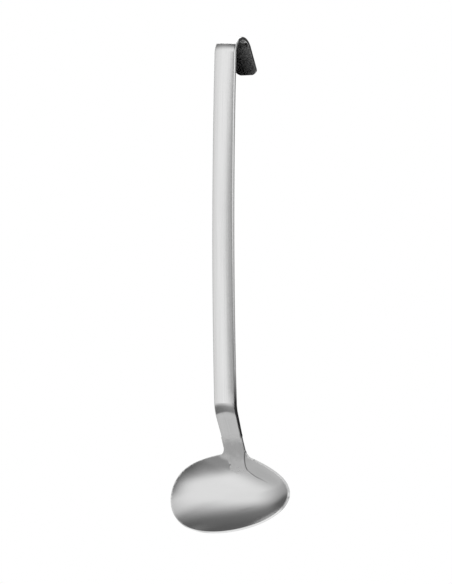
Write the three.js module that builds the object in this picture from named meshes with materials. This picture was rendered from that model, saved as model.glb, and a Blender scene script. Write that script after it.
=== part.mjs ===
// Basting spoon: a hooked steel strap handle, a pressed egg-shaped bowl and the butt weld between them.
// Millimetres and degrees. The spoon hangs upright: +Z is up, +X is to its right, -Y is its front,
// the side that the bowl opens to. The origin is the underside of the hook's arch, where a rail carries it.
import * as THREE from "three";

// Strap of the handle: flat behind, crowned in front
const strapWidth = 16.2;
const strapEdge = 2.6; // thickness along its two edges
const strapCrown = 0.85; // how far the middle of the front stands proud of the edges
const strapBevel = 0.35; // dulled front corners

// Hook
const hookRadius = 9.7; // inside of the arch
const hookLegAngle = 30; // between the leg and the vertical
const hookLegLength = 20.8;
const hookTipLength = 4; // the rounded end of the leg
const hookTipSquareness = 3.5; // 2 would make it half an ellipse

// Grip, crank and neck
const gripLength = 239;
const gripBow = 3; // how far the grip's middle bows towards the front
const crankRadius = 12.5;
const neckLength = 18;
const neckEndWidth = 15.4;

// Bowl: an egg-shaped dish, blunt on the left and drawn out to a pouring end on the right
const bowlLeftReach = 47.6; // from the handle's middle plane
const bowlRightReach = 44.1;
const bowlWidestOffset = -10.6; // where across the bowl it is widest
const bowlWidth = 52.3;
const bowlLean = 1.6; // how far the pouring end lies above the middle, and the blunt end below it
const bowlDepth = 9;
const bowlDeepestOffset = 2; // where across the bowl it is deepest
const bowlTilt = 12.5; // between the rim's plane and the vertical, with the lower rim forward
const bowlSheet = 2;
const shoulderFillet = 12.3; // where the bowl's rim runs up into the neck
const shoulderStraight = 1.5; // straight edge above the fillets, up to the weld
const shoulderBlend = 4; // the dish turns into the flat neck over this much above and below the rim

// Weld
const weldWidth = 1.6;
const weldGap = 0.3;
const weldProud = 0.35; // the bead stands this far out behind, and is ground flush in front

// Fineness of the facets
const tipSteps = 7;
const legSteps = 2;
const archSteps = 18;
const gripSteps = 10;
const crankSteps = 5;
const neckSteps = 4;
const crownSteps = 6;
const rimSteps = 84;
const filletSteps = 6;
const shoulderSteps = 6;
const dishSteps = 10;
const weldSteps = 6;

// Fineness of the sums
const bisections = 50;
const slopeProbe = 0.1;

const { sin, cos, tan, atan, atan2, hypot, sqrt } = Math;
const { degToRad, lerp, smoothstep } = THREE.MathUtils;
const halfTurn = Math.PI;
const quarterTurn = halfTurn / 2;

const satinSteel = new THREE.MeshStandardMaterial({ color: 0xc9cacb, metalness: 1, roughness: 0.38 });
const polishedSteel = new THREE.MeshStandardMaterial({ color: 0xcfd0d1, metalness: 1, roughness: 0.22 });
const groundSteel = new THREE.MeshStandardMaterial({ color: 0xbdbebf, metalness: 1, roughness: 0.45 });

// Steps from 0 to 1, both ends included.
const shares = (steps) => Array.from({ length: steps + 1 }, (_, i) => i / steps);

// A closed skin over rings of points that all have the same count. Each ring runs anticlockwise as seen
// by someone it comes towards, and the two end rings are closed by fans.
function loft(rings) {
  const count = rings[0].length;
  const corners = rings.flat();
  const faces = [];
  for (let r = 0; r + 1 < rings.length; r++) {
    for (let i = 0; i < count; i++) {
      const a = r * count + i;
      const b = r * count + ((i + 1) % count);
      faces.push(a, b, b + count, a, b + count, a + count);
    }
  }
  const close = (ring, first, flip) => {
    const centre = new THREE.Vector3();
    for (const point of ring) centre.addScaledVector(point, 1 / count);
    const middle = corners.push(centre) - 1;
    for (let i = 0; i < count; i++) {
      const a = first + i;
      const b = first + ((i + 1) % count);
      faces.push(...(flip ? [middle, b, a] : [middle, a, b]));
    }
  };
  close(rings[0], 0, true);
  close(rings.at(-1), (rings.length - 1) * count, false);
  const geometry = new THREE.BufferGeometry().setFromPoints(corners).setIndex(faces);
  geometry.computeVertexNormals();
  return geometry;
}

// Stations along the strap's back. heading is the direction of travel in the YZ plane, from +Y towards +Z,
// and every bend of the strap turns the same way.
function walk(from, length, turn, steps) {
  return shares(steps)
    .slice(1)
    .map((share) => {
      const half = (turn * share) / 2;
      const chord = length * share * (half ? sin(half) / half : 1);
      return {
        y: from.y + chord * cos(from.heading + half),
        z: from.z + chord * sin(from.heading + half),
        heading: from.heading + 2 * half,
      };
    });
}

function straightOn(from, length) {
  return walk(from, length, 0, 1)[0];
}

// A point beside a station: x across the strap, out from its back towards its front.
function beside(station, x, out) {
  return new THREE.Vector3(
    x,
    station.y + out * sin(station.heading),
    station.z - out * cos(station.heading),
  );
}

// The strap's section at a station, with its crown measured on the full width so that a narrowed end
// keeps the same face.
function strapRing(station, halfWidth, crown) {
  const flat = halfWidth - strapBevel;
  const front = shares(crownSteps).map((share) => {
    const x = lerp(flat, -flat, share);
    return beside(station, x, strapEdge + crown * (1 - (x / (strapWidth / 2)) ** 2));
  });
  return [
    beside(station, -halfWidth, 0),
    beside(station, halfWidth, 0),
    beside(station, halfWidth, strapEdge - strapBevel),
    ...front,
    beside(station, -halfWidth, strapEdge - strapBevel),
  ];
}

// The neck runs on from the dish's slope at the top of the rim, so the bowl sets its tilt.
const rimSlope = atan((4 * bowlDepth) / bowlWidth);
const neckTilt = rimSlope - degToRad(bowlTilt);

// The strap from the tip of the hook's leg, over the arch, down the grip and round the crank to the end
// of the neck.
const legHeading = quarterTurn + degToRad(hookLegAngle);
const downHeading = halfTurn + quarterTurn;
const gripHalfTurn = (4 * gripBow) / gripLength;
const archTurn = downHeading - gripHalfTurn - legHeading;
const crankTurn = neckTilt - gripHalfTurn;

const legTip = {
  y: hookRadius * sin(legHeading) - hookLegLength * cos(legHeading),
  z: -hookRadius - hookRadius * cos(legHeading) - hookLegLength * sin(legHeading),
  heading: legHeading,
};
const tipAngles = shares(tipSteps)
  .slice(1)
  .map((share) => share * quarterTurn);
const tip = tipAngles.map((angle) => straightOn(legTip, hookTipLength * (1 - cos(angle))));
const leg = walk(tip.at(-1), hookLegLength - hookTipLength, 0, legSteps);
const arch = walk(leg.at(-1), hookRadius * archTurn, archTurn, archSteps);
const grip = walk(arch.at(-1), gripLength, 2 * gripHalfTurn, gripSteps);
const crank = walk(grip.at(-1), crankRadius * crankTurn, crankTurn, crankSteps);
const neck = walk(crank.at(-1), neckLength, 0, neckSteps);

function handleGeometry() {
  const half = strapWidth / 2;
  const rings = tip.map((station, i) =>
    strapRing(station, half * sin(tipAngles[i]) ** (2 / hookTipSquareness), strapCrown),
  );
  for (const station of [...leg, ...arch, ...grip]) rings.push(strapRing(station, half, strapCrown));
  crank.forEach((station, i) => {
    rings.push(strapRing(station, half, lerp(strapCrown, 0, (i + 1) / crankSteps)));
  });
  neck.forEach((station, i) => {
    rings.push(strapRing(station, lerp(half, neckEndWidth / 2, (i + 1) / neckSteps), 0));
  });
  return loft(rings);
}

// The bead between the strap's end and the bowl's shoulder: flush in front, proud behind.
const weldStart = straightOn(neck.at(-1), weldGap);
const shoulderTop = straightOn(weldStart, weldWidth + weldGap);

function weldGeometry() {
  const rings = shares(weldSteps).map((share) => {
    const station = straightOn(weldStart, weldWidth * share);
    const behind = lerp(0, strapEdge - bowlSheet, share) - weldProud * sin(share * halfTurn);
    const half = neckEndWidth / 2;
    return [
      beside(station, -half, behind),
      beside(station, half, behind),
      beside(station, half, strapEdge),
      beside(station, -half, strapEdge),
    ];
  });
  return loft(rings);
}

// The rim in its own plane: x across, down from the top of the rim. angle 0 is the pouring end.
const bowlHalfLength = (bowlLeftReach + bowlRightReach) / 2;
const bowlDraw = (bowlRightReach - bowlLeftReach) / 2 - bowlWidestOffset;
const bowlHalfWidth = bowlWidth / 2;
const dishMiddle = new THREE.Vector2(bowlDeepestOffset, bowlHalfWidth);

function rimPoint(angle) {
  return new THREE.Vector2(
    bowlWidestOffset + bowlHalfLength * cos(angle) + bowlDraw * cos(angle) ** 2,
    bowlHalfWidth * (1 - sin(angle)) - bowlLean * cos(angle),
  );
}

function rimOutward(angle) {
  const across = bowlHalfLength * sin(angle) + bowlDraw * sin(2 * angle);
  const down = bowlHalfWidth * cos(angle) - bowlLean * sin(angle);
  return new THREE.Vector2(down, -across).normalize();
}

// The value between low and high where a falling function reaches the target.
function whereFalls(falling, target, low, high) {
  for (let i = 0; i < bisections; i++) {
    const middle = (low + high) / 2;
    if (falling(middle) > target) low = middle;
    else high = middle;
  }
  return (low + high) / 2;
}

// The fillet between the rim and one side of the neck: side is 1 on the right and -1 on the left.
function shoulderFilletAt(side) {
  const centreAt = (angle) => rimPoint(angle).addScaledVector(rimOutward(angle), shoulderFillet);
  const centreX = side * (neckEndWidth / 2 + shoulderFillet);
  const rimAngle = whereFalls((angle) => centreAt(angle).x, centreX, 0, halfTurn);
  const centre = centreAt(rimAngle);
  const outward = rimOutward(rimAngle);
  const start = atan2(-outward.y, -outward.x);
  const end = side > 0 ? halfTurn : 0;
  const arc = shares(filletSteps).map((share) => {
    const angle = lerp(start, end, share);
    return new THREE.Vector2(cos(angle), sin(angle)).multiplyScalar(shoulderFillet).add(centre);
  });
  return { rimAngle, centre, arc };
}

const rightFillet = shoulderFilletAt(1);
const leftFillet = shoulderFilletAt(-1);
const shoulderHeight = shoulderStraight - Math.min(rightFillet.centre.y, leftFillet.centre.y);

// The bowl's whole edge, anticlockwise from the right fillet: round the rim, up the left side of the
// shoulder, along the weld and back.
function bowlOutline() {
  const rim = shares(rimSteps).map((share) =>
    rimPoint(lerp(rightFillet.rimAngle, leftFillet.rimAngle - 2 * halfTurn, share)),
  );
  const half = neckEndWidth / 2;
  const top = shares(shoulderSteps).map((share) => {
    return new THREE.Vector2(lerp(-half, half, share), -shoulderHeight);
  });
  return [...rim, ...leftFillet.arc.slice(1), ...top, ...rightFillet.arc.toReversed().slice(0, -1)];
}

// Where x lies across the bowl: -1 at the blunt end, 0 where it is widest and 1 at the pouring end.
function acrossShare(x) {
  const offset = x - bowlWidestOffset;
  return (2 * offset) / (bowlHalfLength + sqrt(bowlHalfLength ** 2 + 4 * bowlDraw * offset));
}

// How far the sheet's front lies behind the rim's plane: one smooth bulge inside the rim, which turns above
// the rim into the plane of the neck.
function dishDepth(point) {
  const across = acrossShare(point.x);
  const up = 1 - (point.y + bowlLean * across) / bowlHalfWidth;
  const deepest = acrossShare(bowlDeepestOffset);
  const shift = (1 - deepest ** 2) / hypot(1 - deepest * across, deepest * up) ** 2;
  const dish = bowlDepth * shift * (1 - across ** 2 - up ** 2);
  const neckPlane = point.y * tan(rimSlope);
  const towardsNeck = 1 - smoothstep(point.y, -shoulderBlend, shoulderBlend);
  return lerp(dish, neckPlane, towardsNeck);
}

// Axes of the rim's plane, and its origin, set so that the shoulder's top edge meets the weld.
const tilt = degToRad(bowlTilt);
const rimDown = new THREE.Vector3(0, -sin(tilt), -cos(tilt));
const rimBehind = new THREE.Vector3(0, cos(tilt), -sin(tilt));
const rimOrigin = beside(shoulderTop, 0, strapEdge)
  .addScaledVector(rimDown, shoulderHeight)
  .addScaledVector(rimBehind, shoulderHeight * tan(rimSlope));

function sheetPoint(point, depth) {
  return rimOrigin.clone().addScaledVector(rimDown, point.y).addScaledVector(rimBehind, depth).setX(point.x);
}

// The two faces of the sheet at a point of the rim's plane, a sheet thickness apart.
function sheetFaces(point) {
  const slopeAlong = (dx, dy) => {
    const step = new THREE.Vector2(dx, dy);
    return (dishDepth(point.clone().add(step)) - dishDepth(point.clone().sub(step))) / (2 * step.length());
  };
  const slopeX = slopeAlong(slopeProbe, 0);
  const slopeDown = slopeAlong(0, slopeProbe);
  const scale = bowlSheet / hypot(slopeX, slopeDown, 1);
  const depth = dishDepth(point);
  const behind = point.clone().sub(new THREE.Vector2(slopeX, slopeDown).multiplyScalar(scale));
  return { front: sheetPoint(point, depth), back: sheetPoint(behind, depth + scale) };
}

function bowlGeometry() {
  const outline = bowlOutline();
  const rings = shares(dishSteps)
    .slice(1)
    .map((share) => outline.map((edge) => sheetFaces(dishMiddle.clone().lerp(edge, share))));
  const fronts = rings.map((ring) => ring.map((faces) => faces.front));
  const backs = rings.map((ring) => ring.map((faces) => faces.back));
  return loft([...fronts, ...backs.toReversed()]);
}

function piece(name, geometry, material) {
  const mesh = new THREE.Mesh(geometry, material);
  mesh.name = name;
  return mesh;
}

const spoon = new THREE.Group();
spoon.add(
  piece("handle", handleGeometry(), satinSteel),
  piece("weld_seam", weldGeometry(), groundSteel),
  piece("bowl", bowlGeometry(), polishedSteel),
);

export default spoon;
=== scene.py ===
"""Basting spoon: a hooked strap handle, a pressed egg-shaped bowl and the ground weld between them.

Each piece is made here as a fine, smooth mesh in the place of its plain solid. The frame is the
part's own: +Z up, +X to the spoon's right, -Y its front. Sizes are in millimetres, and become
metres in the meshes.
"""
import math

import bpy
import numpy as np
from mathutils import Matrix, Vector
from mathutils.geometry import delaunay_2d_cdt


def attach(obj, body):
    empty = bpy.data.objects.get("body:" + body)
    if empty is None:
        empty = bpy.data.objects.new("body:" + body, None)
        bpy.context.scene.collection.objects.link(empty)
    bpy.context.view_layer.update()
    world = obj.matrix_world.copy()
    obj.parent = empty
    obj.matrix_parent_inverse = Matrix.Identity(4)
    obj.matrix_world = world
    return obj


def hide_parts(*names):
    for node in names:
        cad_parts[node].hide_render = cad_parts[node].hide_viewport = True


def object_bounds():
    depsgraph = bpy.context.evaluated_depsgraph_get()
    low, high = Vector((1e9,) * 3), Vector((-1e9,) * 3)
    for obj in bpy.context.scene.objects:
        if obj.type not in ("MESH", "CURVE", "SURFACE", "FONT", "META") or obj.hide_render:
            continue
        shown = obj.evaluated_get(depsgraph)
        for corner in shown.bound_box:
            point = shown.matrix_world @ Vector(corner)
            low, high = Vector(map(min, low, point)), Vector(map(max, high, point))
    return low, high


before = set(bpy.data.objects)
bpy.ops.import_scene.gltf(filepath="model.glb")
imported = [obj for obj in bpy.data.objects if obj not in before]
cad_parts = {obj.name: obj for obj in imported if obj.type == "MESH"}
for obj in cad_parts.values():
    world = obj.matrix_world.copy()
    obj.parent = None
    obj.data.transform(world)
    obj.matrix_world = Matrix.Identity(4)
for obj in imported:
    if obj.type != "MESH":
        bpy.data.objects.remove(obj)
cad_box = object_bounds()
MM = 0.001
QUARTER_TURN = math.pi / 2

# Strap of the handle: flat behind, crowned in front
STRAP_WIDTH = 16.5
STRAP_LOW_WIDTH = 17.1  # at the lower end of the grip
STRAP_EDGE = 2.6  # thickness along its two edges
STRAP_CROWN = 0.85  # how far the middle of the front stands proud of the edges
FRONT_CORNER = 1.2
BACK_CORNER = 0.4
TIP_ROUNDING = 0.5

# Hook, grip, crank and neck
HOOK_RADIUS = 9.7  # inside of the arch
HOOK_LEG_ANGLE = math.radians(30)  # between the leg and the vertical
HOOK_LEG_LENGTH = 20.8
HOOK_TIP_LENGTH = 4  # the rounded end of the leg
HOOK_TIP_SQUARENESS = 3.5  # 2 would make it half an ellipse
GRIP_LENGTH = 239.2
GRIP_BOW = 3  # how far the grip's middle bows towards the front
CRANK_RADIUS = 24
NECK_LENGTH = 14.2
NECK_END_WIDTH = 16
NECK_KINK = math.radians(2.5)  # how much steeper the neck is than the dish at its rim

# Bowl: blunt on the left and drawn out to a pouring end on the right
BOWL_LEFT_REACH = 48.9  # from the handle's middle plane
BOWL_RIGHT_REACH = 43.4
BOWL_WIDEST_OFFSET = -12.5  # where across the bowl it is widest
BOWL_WIDTH = 51.4
BOWL_LEAN = 1.8  # how far the pouring end lies above the middle, and the blunt end below it
BOWL_DEPTH = 9
BOWL_DEEPEST_OFFSET = 2  # where across the bowl it is deepest
BOWL_TILT = math.radians(12.5)  # between the rim's plane and the vertical
BOWL_SHEET = 2
RIM_ROUNDING = 0.25
SHOULDER_FILLET = {1: 5.5, -1: 5}  # right and left of the neck
SHOULDER_HEIGHT = 12.6
SHOULDER_RISE = 2.9  # how far the rim is drawn up beside the neck
SHOULDER_RISE_WIDTH = 21
SHOULDER_BLEND = 4  # the dish turns into the neck over this much above and below the rim
SHOULDER_SPREAD = (7, 15)  # from the middle, where the neck's plane turns into the rim's slope

# Marks that the pressing and the welding left on the bowl's front: x and down in the rim's plane
CREASE = [(8.2, -5.5), (7, 1), (7.6, 6.8), (13, 10.8), (20, 13.6), (28, 16.8)]
CREASE_DEPTH = 0.2
CREASE_WIDTH = 0.36
CREASE_FADE = (0.15, 0.8)  # shares of its length between which it grows shallow
CREASE_SHADE_FADE = (0.5, 1)  # and between which the shade painted into it runs out
PIT = (-5.5, 4.2)
PIT_DEPTH = 0.2
PIT_WIDTH = 0.5
TONGUE_EDGE = -5.8
TONGUE_PROUD = 0.12
TONGUE_SOFTNESS = 0.7
TONGUE_RIGHT = (6.8, 8)
TONGUE_START = (-11, -5)  # so that the weld above it is flush
TONGUE_END = (1, 6)

# Weld
WELD_WIDTH = 1.6
WELD_GAP = 0.3
WELD_PROUD = 0.35  # the bead stands this far out behind, and is ground flush in front
WELD_SKIN = 0.02  # how far the ground weld lies over its neighbours, where it laps them
WELD_LAP = 0.3
weld_length = WELD_WIDTH + 2 * (WELD_GAP + WELD_LAP)

# Fineness of the meshes
TIP_STEPS = 24
LEG_STEPS = 12
ARCH_STEPS = 60
GRIP_STEPS = 60
CRANK_STEPS = 20
NECK_STEPS = 12
WELD_STEPS = 24
CROWN_STEPS = 16
ROUNDING_STEPS = 7
RIM_STEPS = 360
FILLET_STEPS = 40
SHOULDER_STEPS = 24
CREASE_STEPS = 40  # between two of its corners
BOWL_GRID = 0.8
MARK_GRID = 0.2
MARK_REACH = 1.5
SHARP_ANGLE = math.radians(40)
NORMAL_WEIGHT = 100  # the large faces decide the normals

# Fineness of the sums
BISECTIONS = 45
RIM_PROBE = 0.001
SLOPE_PROBE = 0.1
PLAN_TOLERANCE = 1e-6


def smoothstep(value, low, high):
    share = np.clip((value - low) / (high - low), 0, 1)
    return share * share * (3 - 2 * share)


def steps_up(count):
    """Shares of the way, from the first step to 1."""
    return np.arange(1, count + 1) / count


# Stations along the strap's back: rows of y, z and heading, from +Y towards +Z
def walk(start, length, turn, steps):
    share = steps_up(steps)
    half = turn * share / 2
    chord = length * share * np.sinc(half / math.pi)
    heading = start[2] + half
    y = start[0] + chord * np.cos(heading)
    z = start[1] + chord * np.sin(heading)
    return np.stack([y, z, heading + half], 1)


def ahead(start, length):
    """The station straight ahead of another."""
    return walk(start, length, 0, 1)[0]


def beside(stations, x, out):
    """Points beside stations: x across the strap, out from its back towards its front."""
    y, z, heading = np.moveaxis(np.asarray(stations), -1, 0)
    y = y + out * np.sin(heading)
    z = z - out * np.cos(heading)
    return np.stack(np.broadcast_arrays(x, y, z), -1)


# The handle's course, from the tip of the hook to the weld
rim_slope = math.atan(4 * BOWL_DEPTH / BOWL_WIDTH)
neck_slope = rim_slope + NECK_KINK
neck_tilt = neck_slope - BOWL_TILT
leg_heading = QUARTER_TURN + HOOK_LEG_ANGLE
grip_half_turn = 4 * GRIP_BOW / GRIP_LENGTH
arch_turn = 3 * QUARTER_TURN - grip_half_turn - leg_heading
crank_turn = neck_tilt - grip_half_turn
leg_tip = (
    HOOK_RADIUS * math.sin(leg_heading) - HOOK_LEG_LENGTH * math.cos(leg_heading),
    -HOOK_RADIUS * (1 + math.cos(leg_heading)) - HOOK_LEG_LENGTH * math.sin(leg_heading),
    leg_heading,
)
tip_angle = QUARTER_TURN * steps_up(TIP_STEPS)
tip_run = HOOK_TIP_LENGTH * (1 - np.cos(tip_angle))
tip = np.array([ahead(leg_tip, run) for run in tip_run])
leg = walk(tip[-1], HOOK_LEG_LENGTH - HOOK_TIP_LENGTH, 0, LEG_STEPS)
arch = walk(leg[-1], HOOK_RADIUS * arch_turn, arch_turn, ARCH_STEPS)
grip = walk(arch[-1], GRIP_LENGTH, 2 * grip_half_turn, GRIP_STEPS)
crank = walk(grip[-1], CRANK_RADIUS * crank_turn, crank_turn, CRANK_STEPS)
neck = walk(crank[-1], NECK_LENGTH, 0, NECK_STEPS)
weld_start = ahead(neck[-1], WELD_GAP)
shoulder_top = ahead(weld_start, WELD_WIDTH + WELD_GAP)


def arc(centre_x, centre_out, radius, start, end):
    angle = np.linspace(start, end, ROUNDING_STEPS + 1)
    return np.stack([centre_x + radius * np.cos(angle), centre_out + radius * np.sin(angle)], 1)


def strap_section(half, back, front, crown, inset=0):
    """The strap's section as a loop of x and out, anticlockwise for someone it comes towards."""
    half = half - inset
    back = back + inset
    front = front - inset
    lean = math.atan(2 * crown / (half - FRONT_CORNER))
    centre_x = half - FRONT_CORNER
    centre_out = front - FRONT_CORNER * math.cos(lean)
    edge_x = centre_x + FRONT_CORNER * math.sin(lean)
    x = np.linspace(edge_x, -edge_x, CROWN_STEPS + 1)[1:-1]
    face = np.stack([x, front + crown * (1 - (x / edge_x) ** 2)], 1)
    behind_x = half - BACK_CORNER
    behind_out = back + BACK_CORNER
    right = [
        arc(behind_x, behind_out, BACK_CORNER, -QUARTER_TURN, 0),
        arc(centre_x, centre_out, FRONT_CORNER, 0, QUARTER_TURN - lean),
    ]
    mirrored = [part[::-1] * [-1, 1] for part in reversed(right)]
    return np.concatenate([*right, face, *mirrored])


UV_NAME = "strap"


def add_piece(name, points, faces, material, uv=None):
    mesh = bpy.data.meshes.new(name)
    mesh.from_pydata((np.asarray(points) * MM).tolist(), [], faces)
    mesh.shade_smooth()
    mesh.set_sharp_from_angle(angle=SHARP_ANGLE)
    if uv is not None:
        layer = mesh.uv_layers.new(name=UV_NAME)
        layer.data.foreach_set("uv", np.asarray(uv, np.float32).ravel())
    mesh.materials.append(material)
    piece = bpy.data.objects.new(name, mesh)
    bpy.context.scene.collection.objects.link(piece)
    even = piece.modifiers.new("even normals", "WEIGHTED_NORMAL")
    even.weight = NORMAL_WEIGHT
    even.keep_sharp = True
    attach(piece, "root")
    return piece


def add_point_values(mesh, name, values):
    attribute = mesh.attributes.new(name, "FLOAT", "POINT")
    attribute.data.foreach_set("value", np.array(values, np.float32))


def run_along(points):
    """How far along a row of points each one lies, in metres."""
    lengths = np.linalg.norm(np.diff(points, axis=0), axis=1)
    return np.concatenate([[0], np.cumsum(lengths)]) * MM


def loft(stations, sections):
    """A closed skin over sections at stations, with uv in metres: round the strap and along it."""
    pairs = zip(stations, sections)
    rings = np.stack([beside(station, loop[:, 0], loop[:, 1]) for station, loop in pairs])
    ring_count, count = rings.shape[:2]
    around = run_along(np.concatenate([sections[-1], sections[-1][:1]]))
    along = run_along(rings.mean(1))
    faces = []
    uv = []
    for r in range(ring_count - 1):
        low, high = r * count, (r + 1) * count
        for c in range(count):
            d = (c + 1) % count
            faces.append((low + c, low + d, high + d, high + c))
            uv += [(around[c], along[r]), (around[c + 1], along[r])]
            uv += [(around[c + 1], along[r + 1]), (around[c], along[r + 1])]
    first = list(range(count))[::-1]
    last = list(range((ring_count - 1) * count, ring_count * count))
    for cap, v in ((first, along[0]), (last, along[-1])):
        faces.append(tuple(cap))
        uv += [(around[i % count], v) for i in cap]
    return rings.reshape(-1, 3), faces, uv


def make_handle(material):
    half = STRAP_WIDTH / 2
    sections = []
    for angle, run in zip(tip_angle, tip_run):
        short = max(TIP_ROUNDING - run, 0)
        inset = TIP_ROUNDING - math.sqrt(TIP_ROUNDING ** 2 - short ** 2)
        rounded = half * math.sin(angle) ** (2 / HOOK_TIP_SQUARENESS)
        sections.append(strap_section(rounded + inset, 0, STRAP_EDGE, STRAP_CROWN, inset))
    for _ in range(LEG_STEPS + ARCH_STEPS):
        sections.append(strap_section(half, 0, STRAP_EDGE, STRAP_CROWN))
    for share in steps_up(GRIP_STEPS):
        width = STRAP_WIDTH + (STRAP_LOW_WIDTH - STRAP_WIDTH) * share ** 2
        sections.append(strap_section(width / 2, 0, STRAP_EDGE, STRAP_CROWN))
    for share in steps_up(CRANK_STEPS):
        crown = STRAP_CROWN * (1 - share)
        sections.append(strap_section(STRAP_LOW_WIDTH / 2, 0, STRAP_EDGE, crown))
    for share in steps_up(NECK_STEPS):
        width = STRAP_LOW_WIDTH + (NECK_END_WIDTH - STRAP_LOW_WIDTH) * share
        sections.append(strap_section(width / 2, 0, STRAP_EDGE, 0))
    stations = np.concatenate([tip, leg, arch, grip, crank, neck])
    points, faces, uv = loft(stations, sections)
    handle = add_piece("strap_handle", points, faces, material, uv)
    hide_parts("handle")


def make_weld(material):
    begin = ahead(neck[-1], -WELD_LAP)
    shares = np.linspace(0, 1, WELD_STEPS + 1)
    stations = [ahead(begin, weld_length * share) for share in shares]
    half = NECK_END_WIDTH / 2 + WELD_SKIN
    sections = []
    for share in shares:
        bead = WELD_PROUD * math.sin(share * math.pi) ** 2
        behind = (STRAP_EDGE - BOWL_SHEET) * share - WELD_SKIN - bead
        sections.append(strap_section(half, behind, STRAP_EDGE + WELD_SKIN, 0))
    points, faces, uv = loft(np.array(stations), sections)
    weld = add_piece("ground_weld", points, faces, material, uv)
    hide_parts("weld_seam")


# The rim in its own plane: x across, and down from the top. Its angle is 0 at the pouring end.
bowl_half_length = (BOWL_LEFT_REACH + BOWL_RIGHT_REACH) / 2
bowl_draw = (BOWL_RIGHT_REACH - BOWL_LEFT_REACH) / 2 - BOWL_WIDEST_OFFSET
bowl_half_width = BOWL_WIDTH / 2


def rim_point(angle):
    right = np.cos(angle)
    across = BOWL_WIDEST_OFFSET + bowl_half_length * right + bowl_draw * right ** 2
    down = bowl_half_width * (1 - np.sin(angle)) - BOWL_LEAN * right
    rise = SHOULDER_RISE * np.exp(-(across / SHOULDER_RISE_WIDTH) ** 2)
    return np.stack([across, down - np.where(np.sin(angle) > 0, rise, 0)], -1)


def rim_outward(angle):
    step = rim_point(angle - RIM_PROBE) - rim_point(angle + RIM_PROBE)
    across, down = np.moveaxis(step, -1, 0)
    return np.stack([down, -across], -1) / np.hypot(down, across)[..., None]


def where_falls(falling, low, high):
    """The value between low and high where a falling function comes to zero."""
    for _ in range(BISECTIONS):
        middle = (low + high) / 2
        above = falling(middle) > 0
        low = np.where(above, middle, low)
        high = np.where(above, high, middle)
    return (low + high) / 2


def shoulder_fillet(side):
    """The rim's angle where the arc to one side of the neck starts, and the arc from there up."""
    radius = SHOULDER_FILLET[side]
    centre_x = side * (NECK_END_WIDTH / 2 + radius)

    def centre_at(angle):
        return rim_point(angle) + rim_outward(angle) * radius

    rim_angle = where_falls(lambda angle: centre_at(angle)[..., 0] - centre_x, 0.0, math.pi)
    outward = rim_outward(rim_angle)
    start = math.atan2(-outward[1], -outward[0])
    angle = np.linspace(start, math.pi if side > 0 else 0, FILLET_STEPS + 1)
    return rim_angle, centre_at(rim_angle) + radius * np.stack([np.cos(angle), np.sin(angle)], 1)


right_angle, right_arc = shoulder_fillet(1)
left_angle, left_arc = shoulder_fillet(-1)


def bowl_outline():
    """The bowl's edge, all round from the right fillet. Its top runs under the weld."""
    rim = rim_point(np.linspace(right_angle, left_angle - 2 * math.pi, RIM_STEPS + 1))
    across = np.linspace(-NECK_END_WIDTH / 2, NECK_END_WIDTH / 2, SHOULDER_STEPS + 1)
    top = np.stack([across, np.full_like(across, -SHOULDER_HEIGHT - RIM_ROUNDING)], 1)
    return np.concatenate([rim, left_arc[1:], top, right_arc[:0:-1]])


def across_share(x):
    """Where x lies across: -1 at the blunt end, 0 at the widest place, 1 at the pouring end."""
    offset = x - BOWL_WIDEST_OFFSET
    root = np.sqrt(bowl_half_length ** 2 + 4 * bowl_draw * offset)
    return 2 * offset / (bowl_half_length + root)


def dish_depth(point):
    """How far the sheet's front lies behind the rim's plane.

    The dish is a smooth bulge of the rim's disc. Above the rim it goes on at the rim's slope, and
    near the middle it turns into the neck's plane.
    """
    across = across_share(point[..., 0])
    up = 1 - (point[..., 1] + BOWL_LEAN * across) / bowl_half_width
    deepest = across_share(BOWL_DEEPEST_OFFSET)

    def bulge(height):
        spread = (1 - deepest * across) ** 2 + (deepest * height) ** 2
        return BOWL_DEPTH * (1 - deepest ** 2) / spread

    rim_up = np.sqrt(np.maximum(1 - across ** 2, 0))
    beyond = np.maximum(up - rim_up, 0)
    inside = bulge(up) * (1 - across ** 2 - up ** 2)
    dish = np.where(beyond > 0, -2 * bulge(rim_up) * rim_up * beyond, inside)
    neck_plane = point[..., 1] * math.tan(neck_slope)
    to_neck = 1 - smoothstep(point[..., 1], -SHOULDER_BLEND, SHOULDER_BLEND)
    to_neck = to_neck * (1 - smoothstep(np.abs(point[..., 0]), *SHOULDER_SPREAD))
    return dish * (1 - to_neck) + neck_plane * to_neck


rim_down = np.array([0, -math.sin(BOWL_TILT), -math.cos(BOWL_TILT)])
rim_behind = np.array([0, math.cos(BOWL_TILT), -math.sin(BOWL_TILT)])
neck_front = beside(shoulder_top, 0, STRAP_EDGE)
rim_origin = neck_front + SHOULDER_HEIGHT * (rim_down + math.tan(neck_slope) * rim_behind)


def sheet_point(point, depth):
    place = rim_origin + point[..., 1:] * rim_down + depth[..., None] * rim_behind
    place[..., 0] = point[..., 0]
    return place


def sheet_faces(point):
    """The sheet's front and back at points of the rim's plane, and its normal to the back."""
    def slope_along(step):
        return (dish_depth(point + step) - dish_depth(point - step)) / (2 * SLOPE_PROBE)

    slope = np.stack([slope_along(step) for step in SLOPE_PROBE * np.eye(2)], -1)
    sheet = BOWL_SHEET / np.sqrt((slope ** 2).sum(-1) + 1)
    depth = dish_depth(point)
    front = sheet_point(point, depth)
    back = sheet_point(point - slope * sheet[..., None], depth + sheet)
    return front, back, (back - front) / BOWL_SHEET


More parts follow.
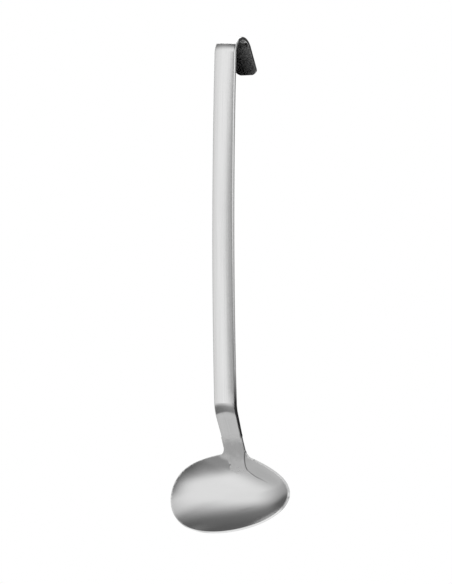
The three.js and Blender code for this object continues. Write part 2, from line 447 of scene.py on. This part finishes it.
def crease_course():
    """Points along the crease, a smooth curve through its corners, and their share of the way."""
    corners = np.array(CREASE, float)
    before = 2 * corners[0] - corners[1]
    after = 2 * corners[-1] - corners[-2]
    corners = np.concatenate([[before], corners, [after]])
    share = np.linspace(0, 1, CREASE_STEPS, endpoint=False)[:, None]
    spans = []
    for a, b, c, d in zip(corners, corners[1:], corners[2:], corners[3:]):
        bend = (2 * a - 5 * b + 4 * c - d) * share ** 2 + (3 * (b - c) + d - a) * share ** 3
        spans.append(b + (bend + (c - a) * share) / 2)
    course = np.concatenate(spans)
    return course, np.linspace(0, 1, len(course))


crease, crease_share = crease_course()


def from_crease(point):
    """The distance of points from the crease, and their place along it as a share."""
    apart = np.linalg.norm(point[:, None] - crease[None], axis=2)
    nearest = apart.argmin(1)
    return apart[np.arange(len(point)), nearest], crease_share[nearest]


def from_pit(point):
    return np.linalg.norm(point - PIT, axis=1)


def mark_shape(distance, width):
    return np.exp(-(distance / width) ** 2)


def relief(point):
    """How far marks raise the sheet's front, or sink it where they are negative."""
    distance, share = from_crease(point)
    deep = CREASE_DEPTH * (1 - smoothstep(share, *CREASE_FADE))
    groove = deep * mark_shape(distance, CREASE_WIDTH)
    pit = PIT_DEPTH * mark_shape(from_pit(point), PIT_WIDTH)
    across, down = point.T
    left = smoothstep(across, TONGUE_EDGE - TONGUE_SOFTNESS, TONGUE_EDGE + TONGUE_SOFTNESS)
    right = 1 - smoothstep(across, *TONGUE_RIGHT)
    run = smoothstep(down, *TONGUE_START) * (1 - smoothstep(down, *TONGUE_END))
    return TONGUE_PROUD * left * right * run - groove - pit


def painted_shade_in_marks(point):
    """How much shade is painted into the crease and the pit, from 0 to 1."""
    distance, share = from_crease(point)
    line = (1 - smoothstep(share, *CREASE_SHADE_FADE)) * mark_shape(distance, CREASE_WIDTH)
    return np.maximum(line, mark_shape(from_pit(point), PIT_WIDTH))


def near_marks(point):
    return np.minimum(from_crease(point)[0], from_pit(point)) < MARK_REACH


def outline_outward(outline):
    """Unit outward directions along the closed outline, whose second coordinate points down."""
    along = np.roll(outline, -1, 0) - np.roll(outline, 1, 0)
    outward = np.stack([along[:, 1], -along[:, 0]], 1)
    return outward / np.linalg.norm(outward, axis=1, keepdims=True)


def staggered_grid(low, high, spacing):
    rows = np.arange(low[1], high[1], spacing * math.sqrt(3) / 2)
    grid = []
    for i, down in enumerate(rows):
        across = np.arange(low[0] + (i % 2) * spacing / 2, high[0], spacing)
        grid.append(np.stack([across, np.full_like(across, down)], 1))
    return np.concatenate(grid)


def well_inside(border, points):
    """The points inside a closed border that lie clear of it."""
    crossings = np.zeros(len(points), int)
    clearance = np.full(len(points), np.inf)
    for start, side in zip(border, np.roll(border, -1, 0) - border):
        offset = points - start
        share = np.clip(offset @ side / (side @ side), 0, 1)
        apart = np.linalg.norm(offset - share[:, None] * side, axis=1)
        clearance = np.minimum(clearance, apart)
        spans = (start[1] <= points[:, 1]) != (start[1] + side[1] <= points[:, 1])
        if side[1]:
            crossings += spans & (offset[:, 0] < offset[:, 1] * side[0] / side[1])
    return points[(crossings % 2 == 1) & (clearance > BOWL_GRID / 2)]


def plan_triangles(border):
    """Triangles inside a border, with inner corners on a grid that is finer near the marks."""
    coarse = staggered_grid(border.min(0), border.max(0), BOWL_GRID)
    marked = np.concatenate([crease, [PIT]])
    fine = staggered_grid(marked.min(0) - MARK_REACH, marked.max(0) + MARK_REACH, MARK_GRID)
    inner = np.concatenate([coarse[~near_marks(coarse)], fine[near_marks(fine)]])
    corners = np.concatenate([border, well_inside(border, inner)])
    loop = list(range(len(border)))
    inside_only = 1
    places = [Vector(corner) for corner in corners]
    found = delaunay_2d_cdt(places, [], [loop], inside_only, PLAN_TOLERANCE)
    return np.array([tuple(place) for place in found[0]]), found[2]


def rim_strips(edge, normal):
    """Rows of points round the sheet's edge, over a rounded corner at its front and its back."""
    along = np.roll(edge, -1, 0) - np.roll(edge, 1, 0)
    outward = np.cross(along, normal)
    outward /= np.linalg.norm(outward, axis=1, keepdims=True)
    angles = QUARTER_TURN * steps_up(ROUNDING_STEPS)
    bends = [(RIM_ROUNDING * (1 - math.cos(a)), RIM_ROUNDING * math.sin(a)) for a in angles]
    bends += [(BOWL_SHEET - behind, out) for behind, out in reversed(bends)]
    return [edge + behind * normal + out * outward for behind, out in bends]


# Name of the point values of the shade painted into the crease and the pit
PAINTED_SHADE_NAME = "painted_shade"


def make_bowl(material):
    outline = bowl_outline()
    border = outline - RIM_ROUNDING * outline_outward(outline)
    plan, triangles = plan_triangles(border)
    count = len(border)
    total = len(plan)
    front, back, normal = sheet_faces(plan)
    front -= relief(plan)[:, None] * normal
    strips = rim_strips(front[:count], normal[:count])
    points = np.concatenate([front, back, *strips])
    faces = [tuple(reversed(corners)) for corners in triangles]
    faces += [tuple(total + i for i in corners) for corners in triangles]
    starts = [0, *(2 * total + i * count for i in range(len(strips))), total]
    for near, far in zip(starts, starts[1:]):
        for i in range(count):
            j = (i + 1) % count
            faces.append((near + i, near + j, far + j, far + i))
    bowl = add_piece("pressed_bowl", points, faces, material)
    # Shade painted into the crease and the pit, from 0 to 1 at the front's points
    painted_shade = np.zeros(len(points))
    painted_shade[:total] = painted_shade_in_marks(plan)
    add_point_values(bowl.data, PAINTED_SHADE_NAME, painted_shade)
    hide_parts("bowl")


NOISE_SPAN = (0.25, 0.75)  # nearly all of the noise lies between these


class NodeLine:
    """Adds nodes to a tree, each fed from the ones before."""

    def __init__(self, tree):
        self.tree = tree

    def put(self, value, socket):
        if isinstance(value, bpy.types.NodeSocket):
            self.tree.links.new(value, socket)
        else:
            socket.default_value = value

    def node(self, kind, **values):
        """A node with some of its inputs given by name."""
        node = self.tree.nodes.new(kind)
        for name, value in values.items():
            self.put(value, node.inputs[name.replace("_", " ")])
        return node

    def attribute(self, name):
        node = self.node("ShaderNodeAttribute")
        node.attribute_name = name
        return node.outputs["Fac"]

    def strap_place(self):
        node = self.node("ShaderNodeUVMap")
        node.uv_map = UV_NAME
        return node.outputs[0]

    def math(self, operation, *values):
        node = self.node("ShaderNodeMath")
        node.operation = operation
        for value, socket in zip(values, node.inputs):
            self.put(value, socket)
        return node.outputs[0]

    def total(self, base, *parts):
        """A base and more parts, each a value and its weight."""
        for value, weight in parts:
            base = self.math("MULTIPLY_ADD", value, weight, base)
        return base

    def vector(self, operation, first, second, output="Vector"):
        node = self.node("ShaderNodeVectorMath")
        node.operation = operation
        self.put(first, node.inputs[0])
        self.put(second, node.inputs[1])
        return node.outputs[output]

    def rise(self, value, low, high, start=0, end=1):
        """A smooth change from start to end while a value goes from low to high."""
        limits = {"From_Min": low, "From_Max": high, "To_Min": start, "To_Max": end}
        node = self.node("ShaderNodeMapRange", Value=value, **limits)
        node.interpolation_type = "SMOOTHSTEP"
        return node.outputs[0]

    def grain(self, place, size, detail=2, height=1):
        """A random grain from -height to height, whose size is in millimetres along each axis."""
        scaled = self.vector("MULTIPLY", place, [1 / (length * MM) for length in size])
        noise = self.node("ShaderNodeTexNoise", Vector=scaled, Scale=1, Detail=detail)
        return self.rise(noise.outputs[0], *NOISE_SPAN, -height, height)


# Materials. Tones and roughnesses are those of the even steel, and then how much each grain adds
# to them. A grain's size is round and along the strap, or along x, y and z on the bowl.
BRUSHING = 0.75  # anisotropy
ROUGH_DETAIL = 3  # of the noise in broken grains


def new_steel(name, brushing):
    """A bare metal, brushed along the strap or not, and the line and shader to finish it with."""
    material = bpy.data.materials.new(name)
    material.use_nodes = True
    line = NodeLine(material.node_tree)
    shader = material.node_tree.nodes["Principled BSDF"]
    shader.inputs["Metallic"].default_value = 1
    shader.inputs["Anisotropic"].default_value = brushing
    if brushing:
        tangent = line.node("ShaderNodeTangent")
        tangent.direction_type = "UV_MAP"
        tangent.uv_map = UV_NAME
        line.put(tangent.outputs[0], shader.inputs["Tangent"])
    return material, line, shader


def finish(line, shader, tone, roughness, height, relief_height):
    line.put(tone, shader.inputs["Base Color"])
    line.put(roughness, shader.inputs["Roughness"])
    bump = line.node("ShaderNodeBump", Height=height, Distance=relief_height * MM)
    line.put(bump.outputs[0], shader.inputs["Normal"])


STRAP_TONE = 0.71
STRAP_ROUGHNESS = 0.24
STRAP_RELIEF = 0.0012
STRAP_HAIRLINE = (0.14, 12, 1)
STRAP_HAIRLINE_TONE = 0.012
STRAP_HAIRLINE_ROUGHNESS = 0.015
STRAP_STROKE = (0.9, 70, 1)
STRAP_STROKE_TONE = 0.022
STRAP_WEAR = (6, 35, 1)
STRAP_WEAR_ROUGHNESS = 0.012


def satin_strap():
    """Steel brushed lengthways: hairlines, strokes of the belt and a little wear from hands."""
    material, line, shader = new_steel("satin_strap", BRUSHING)
    place = line.strap_place()
    hairline = line.grain(place, STRAP_HAIRLINE)
    stroke = line.grain(place, STRAP_STROKE, ROUGH_DETAIL)
    wear = line.grain(place, STRAP_WEAR, ROUGH_DETAIL)
    tone = line.total(STRAP_TONE, (hairline, STRAP_HAIRLINE_TONE), (stroke, STRAP_STROKE_TONE))
    roughness = line.total(
        STRAP_ROUGHNESS, (wear, STRAP_WEAR_ROUGHNESS), (hairline, STRAP_HAIRLINE_ROUGHNESS))
    finish(line, shader, tone, roughness, hairline, STRAP_RELIEF)
    return material


WELD_TONES = (0.71, 0.69)  # at its top and at its foot
WELD_ROUGHNESS = 0.26
WELD_RELIEF = 0.002
WELD_SCRATCH = (1.6, 0.16, 1)
WELD_SCRATCH_TONE = 0.015
WELD_SCRATCH_ROUGHNESS = 0.03
WELD_BLOTCH = (2.4, 1.4, 1)
WELD_BLOTCH_TONE = 0.02


def ground_weld():
    """A weld dressed flush on a belt, with short scratches across it and blotches."""
    material, line, shader = new_steel("ground_weld", BRUSHING)
    place = line.strap_place()
    along = line.node("ShaderNodeSeparateXYZ", Vector=place).outputs["Y"]
    scratch = line.grain(place, WELD_SCRATCH, ROUGH_DETAIL)
    blotch = line.grain(place, WELD_BLOTCH, ROUGH_DETAIL)
    even = line.rise(along, 0, weld_length * MM, *WELD_TONES)
    tone = line.total(even, (blotch, WELD_BLOTCH_TONE), (scratch, WELD_SCRATCH_TONE))
    roughness = line.total(WELD_ROUGHNESS, (scratch, WELD_SCRATCH_ROUGHNESS))
    finish(line, shader, tone, roughness, scratch, WELD_RELIEF)
    return material


BOWL_TONE = 0.62
BOWL_ROUGHNESS = 0.12
BOWL_RELIEF = 0.0006
BOWL_HAIRLINE = (5, 0.12, 0.12)
BOWL_HAIRLINE_TONE = 0.006
POLISH = (14, 0.5, 0.5)
POLISH_TONE = 0.008
POLISH_ROUGHNESS = 0.012
GROUND_REACH = (10, 21)  # from the top of the shoulder, between which the grinding runs out
GROUND_TONE = -0.12
GROUND_ROUGHNESS = 0.06
GROUND_SCRATCH = (0.25, 2.5, 1.8)
GROUND_SPECKLE = (0.5, 0.5, 0.7)
GROUND_MARKS_TONE = 0.025
GROUND_MARKS_HEIGHT = 4  # times that of the hairlines
RAGGED = (3, 3, 3)
RAGGED_REACH = 3  # how far the edges of the ground places stray
BLENDED_RUN = 5  # below the top of the shoulder, as bright as the strap
BLENDED_TONE = 0.16
BLENDED_RAGGED = 0.4  # share of that straying
TONGUE_DULL_EDGE = (TONGUE_EDGE - 0.5, TONGUE_EDGE + 0.3)
TONGUE_DULL_RUN = 9  # down from the top of the rim
TONGUE_DULL_FADE = 3
TONGUE_TONE = 0.06
TONGUE_ROUGHNESS = 0.26
PAINTED_SHADE_TONE = -0.7  # share of the colour that the shade painted into the crease and the pit takes


def polished_bowl():
    """Sheet polished across, duller and scratched where it was ground by the weld, and with shade
    painted into the crease and the pit.
    """
    material, line, shader = new_steel("polished_bowl", 0)
    place = line.node("ShaderNodeTexCoord").outputs["Object"]
    across, _, height = line.node("ShaderNodeSeparateXYZ", Vector=place).outputs
    shoulder = neck_front * MM
    ragged = line.grain(place, RAGGED, ROUGH_DETAIL, RAGGED_REACH * MM)

    from_weld = line.math("ADD", line.vector("DISTANCE", place, shoulder, "Value"), ragged)
    ground = line.rise(from_weld, GROUND_REACH[1] * MM, GROUND_REACH[0] * MM)
    below_weld = line.math("SUBTRACT", shoulder[2], height)
    blended = line.rise(line.total(below_weld, (ragged, BLENDED_RAGGED)), BLENDED_RUN * MM, 0)

    end = sheet_point(np.array([0, TONGUE_DULL_RUN]), np.array(0.0))[2]
    left = line.rise(across, TONGUE_DULL_EDGE[0] * MM, TONGUE_DULL_EDGE[1] * MM)
    right = line.rise(across, TONGUE_RIGHT[1] * MM, TONGUE_RIGHT[0] * MM)
    limits = (end - TONGUE_DULL_FADE) * MM, (end + TONGUE_DULL_FADE) * MM
    upper = line.rise(line.math("ADD", height, ragged), *limits)
    tongue = line.math("MULTIPLY", line.math("MULTIPLY", left, right), upper)

    polish = line.grain(place, POLISH, ROUGH_DETAIL)
    hairline = line.grain(place, BOWL_HAIRLINE)
    scratch = line.grain(place, GROUND_SCRATCH, ROUGH_DETAIL)
    speckle = line.grain(place, GROUND_SPECKLE, ROUGH_DETAIL)
    marks = line.math("MULTIPLY", ground, line.math("ADD", scratch, speckle))

    clean = line.total(
        BOWL_TONE, (hairline, BOWL_HAIRLINE_TONE), (polish, POLISH_TONE), (ground, GROUND_TONE),
        (blended, BLENDED_TONE), (tongue, TONGUE_TONE), (marks, GROUND_MARKS_TONE))
    # Darkened where shade is painted into the crease and the pit
    tone = line.math("MULTIPLY", clean, line.total(1, (line.attribute(PAINTED_SHADE_NAME), PAINTED_SHADE_TONE)))
    roughness = line.total(
        BOWL_ROUGHNESS, (polish, POLISH_ROUGHNESS), (ground, GROUND_ROUGHNESS),
        (tongue, TONGUE_ROUGHNESS))
    bumps = line.total(hairline, (marks, GROUND_MARKS_HEIGHT))
    finish(line, shader, tone, roughness, bumps, BOWL_RELIEF)
    return material


# Studio: soft boxes of light and shade round the spoon, each laid over the ones before it. Degrees
# of azimuth are from the front towards the right, of elevation from the horizon up, and half sizes
# are as seen from the spoon.
SURROUND = 0.03
BOX_SQUARENESS = 4  # 2 would make the boxes ellipses
PATCHES = [
    # name, azimuth, elevation, half width, half height, roll, softness, level
    ("floor", 0, -90, 36, 36, 0, 0.25, 1.25),
    ("back wall", -132, -8, 38, 45, 0, 0.25, 1.3),
    ("back shade", -132, -14, 38, 14, 0, 0.5, 0.7),
    ("overhead", 0, 90, 24, 24, 0, 0.2, 1.9),
    ("right wall", 78, 12, 46, 14, 0, 0.25, 1.1),
    ("high rear", -150, 55, 25, 30, 0, 0.4, 0.9),
    ("right high", 118, 47, 28, 25, 0, 0.3, 0.9),
    ("right low", 115, -35, 28, 30, 0, 0.3, 1.05),
    ("right corner", 128, 23, 16, 10, 0, 0.3, 0.8),
    ("right rear", 150, 1.2, 14, 3.3, 0, 0.6, 0.58),
    ("low front", -40, -47, 18, 16, 0, 0.3, 0.92),
    ("upper left", -61, 25, 28, 33, 16, 0.5, 0.26),
    ("front box", -36, -8, 42, 17, 40, 0.2, 1.28),
    ("left fill", -57, -23, 19, 33, 23, 0.8, 0.65),
    ("front glow", -33, 17, 26, 23, 14, 0.75, 1.12),
    ("front edge", -11, 11, 30, 11, 59, 0.7, 1.15),
    ("left gap", -88, 19, 10, 11, 0, 0.6, 0.15),
    ("low gap", -27, -33, 9.5, 6, 0, 0.35, 0.38),
]


def patch_axes(azimuth, elevation, roll):
    """Unit vectors to a patch's middle, across it and up it."""
    azimuth, elevation, roll = (math.radians(angle) for angle in (azimuth, elevation, roll))
    turn = Matrix.Rotation(azimuth, 3, "Z") @ Matrix.Rotation(elevation, 3, "X").inverted()
    middle = turn @ Vector((0, -1, 0))
    across = turn @ Vector((math.cos(roll), 0, math.sin(roll)))
    up = turn @ Vector((-math.sin(roll), 0, math.cos(roll)))
    return middle, across, up


def make_world():
    world = bpy.data.worlds.new("studio")
    bpy.context.scene.world = world
    world.use_nodes = True
    tree = world.node_tree
    tree.nodes.clear()
    line = NodeLine(tree)
    direction = line.node("ShaderNodeTexCoord").outputs["Generated"]
    level = SURROUND
    for name, azimuth, elevation, half_width, half_height, roll, softness, light in PATCHES:
        axes = patch_axes(azimuth, elevation, roll)
        parts = [line.vector("DOT_PRODUCT", direction, axis, "Value") for axis in axes]
        middle, across, up = parts
        sideways = line.math("ARCTAN2", across, middle)
        shares = [
            line.math("DIVIDE", sideways, math.radians(half_width)),
            line.math("DIVIDE", line.math("ARCSINE", up), math.radians(half_height)),
        ]
        powers = [line.math("POWER", share, BOX_SQUARENESS) for share in shares]
        reach = line.math("POWER", line.math("ADD", *powers), 1 / BOX_SQUARENESS)
        mask = line.rise(reach, 1 + softness, 1 - softness)
        mask.node.label = name
        level = line.math("MULTIPLY_ADD", mask, line.math("SUBTRACT", light, level), level)
    seen = line.node("ShaderNodeLightPath").outputs["Is Camera Ray"]
    level = line.math("MULTIPLY_ADD", seen, line.math("SUBTRACT", 1, level), level)
    background = line.node("ShaderNodeBackground", Color=level)
    line.node("ShaderNodeOutputWorld", Surface=background.outputs[0])


# Camera: level, to the spoon's right of its front, as in the photograph
PHOTO_WIDTH = 452
PHOTO_SCALE = 0.688  # millimetres to a pixel at the handle
CAMERA_AZIMUTH = math.radians(30)
CAMERA_DISTANCE = 2000
CAMERA_HEIGHT = -172.83
CAMERA_LEFT = 5.01  # so that the handle stands right of the picture's middle
SENSOR_WIDTH = 36


def make_camera():
    data = bpy.data.cameras.new("camera")
    data.sensor_fit = "HORIZONTAL"
    data.sensor_width = SENSOR_WIDTH
    data.lens = SENSOR_WIDTH * CAMERA_DISTANCE / PHOTO_SCALE / PHOTO_WIDTH
    camera = bpy.data.objects.new("camera", data)
    towards = Vector((-math.sin(CAMERA_AZIMUTH), math.cos(CAMERA_AZIMUTH), 0))
    right = Vector((math.cos(CAMERA_AZIMUTH), math.sin(CAMERA_AZIMUTH), 0))
    raised = Vector((0, 0, CAMERA_HEIGHT))
    camera.location = (-towards * CAMERA_DISTANCE - right * CAMERA_LEFT + raised) * MM
    camera.rotation_euler = (QUARTER_TURN, 0, CAMERA_AZIMUTH)
    bpy.context.scene.collection.objects.link(camera)
    bpy.context.scene.camera = camera


# Cards off camera, close to the spoon: shades for the right of the grip's front, for the crank and
# the right edges of neck and grip, and for the inside and the right edge of the hook, some of them
# fading out, and a light over the hook's arch
CARD_LEVEL = "level"
CARDS = [
    # name, the plane it lies in, where that is on the third axis, corners, level or levels
    ("grip_card", "XZ", -76,
     [(-13, -250), (28, -250), (28, 10), (0, 10), (-13, -110)], 0.42),
    ("crank_card", "XZ", -27,
     [(-33, -278), (4, -266), (4, -259), (-33, -258)], [0, 0.35, 0.45, 0.05]),
    ("upper_crank_card", "XZ", -27,
     [(-28, -258), (4, -259), (4, -252), (-28, -252)], [0.2, 0.45, 1.1, 1.1]),
    ("neck_card", "YZ", 12,
     [(-18, -274), (12, -274), (12, -248), (-18, -248)], 0.03),
    ("low_grip_card", "YZ", 12,
     [(-18, -248), (12, -248), (12, -225), (-18, -225)], [0.03, 0.03, 0.5, 0.5]),
    ("hook_card", "YZ", -8.9,
     [(-9.5, -54), (19, -54), (19, -5), (-9.5, -5)], 0),
    ("low_hook_card", "YZ", -8.9,
     [(-9.5, -105), (19, -105), (19, -54), (-9.5, -54)], [0.65, 0.65, 0, 0]),
    ("hook_edge_card", "YZ", 10.5,
     [(-5, -30), (26, -30), (26, 6), (-5, 6)], 0.06),
    ("arch_light", "XY", 30,
     [(20, -26), (0, -26), (-20, -23.5), (-44, -6), (-60, 20), (-60, 28), (20, 28)], 1.9),
]
FLOOR_DROP = 1500  # below the spoon, so that it can be seen from below too
FLOOR_SIZE = 20000
FLOOR_LEVEL = 1


def make_card(name, corners, level, for_camera):
    """A flat card of the studio, which either the camera sees or only the steel's reflections do.

    It has one level of light, or one at each corner and a gradient between.
    """
    mesh = bpy.data.meshes.new(name)
    mesh.from_pydata((np.array(corners) * MM).tolist(), [], [range(len(corners))])
    add_point_values(mesh, CARD_LEVEL, np.broadcast_to(level, len(corners)))
    material = bpy.data.materials.new(name)
    material.use_nodes = True
    line = NodeLine(material.node_tree)
    shader = material.node_tree.nodes["Principled BSDF"]
    shader.inputs["Base Color"].default_value = (0, 0, 0, 1)
    shader.inputs["Specular IOR Level"].default_value = 0
    shader.inputs["Emission Color"].default_value = (1, 1, 1, 1)
    line.put(line.attribute(CARD_LEVEL), shader.inputs["Emission Strength"])
    mesh.materials.append(material)
    card = bpy.data.objects.new(name, mesh)
    card.visible_camera = for_camera
    card.visible_glossy = not for_camera
    card.visible_diffuse = False
    bpy.context.scene.collection.objects.link(card)


def make_floor():
    half = FLOOR_SIZE / 2
    height = cad_box[0][2] / MM - FLOOR_DROP
    corners = [(-half, -half), (half, -half), (half, half), (-half, half)]
    make_card("floor", [(x, y, height) for x, y in corners], FLOOR_LEVEL, True)


def make_cards():
    for name, plane, place, corners, level in CARDS:
        axis = "XYZ".index((set("XYZ") - set(plane)).pop())
        make_card(name, np.insert(np.array(corners, float), axis, place, 1), level, False)


make_handle(satin_strap())
make_weld(ground_weld())
make_bowl(polished_bowl())
make_world()
make_camera()
make_floor()
make_cards()
bpy.context.scene.view_settings.view_transform = "Standard"
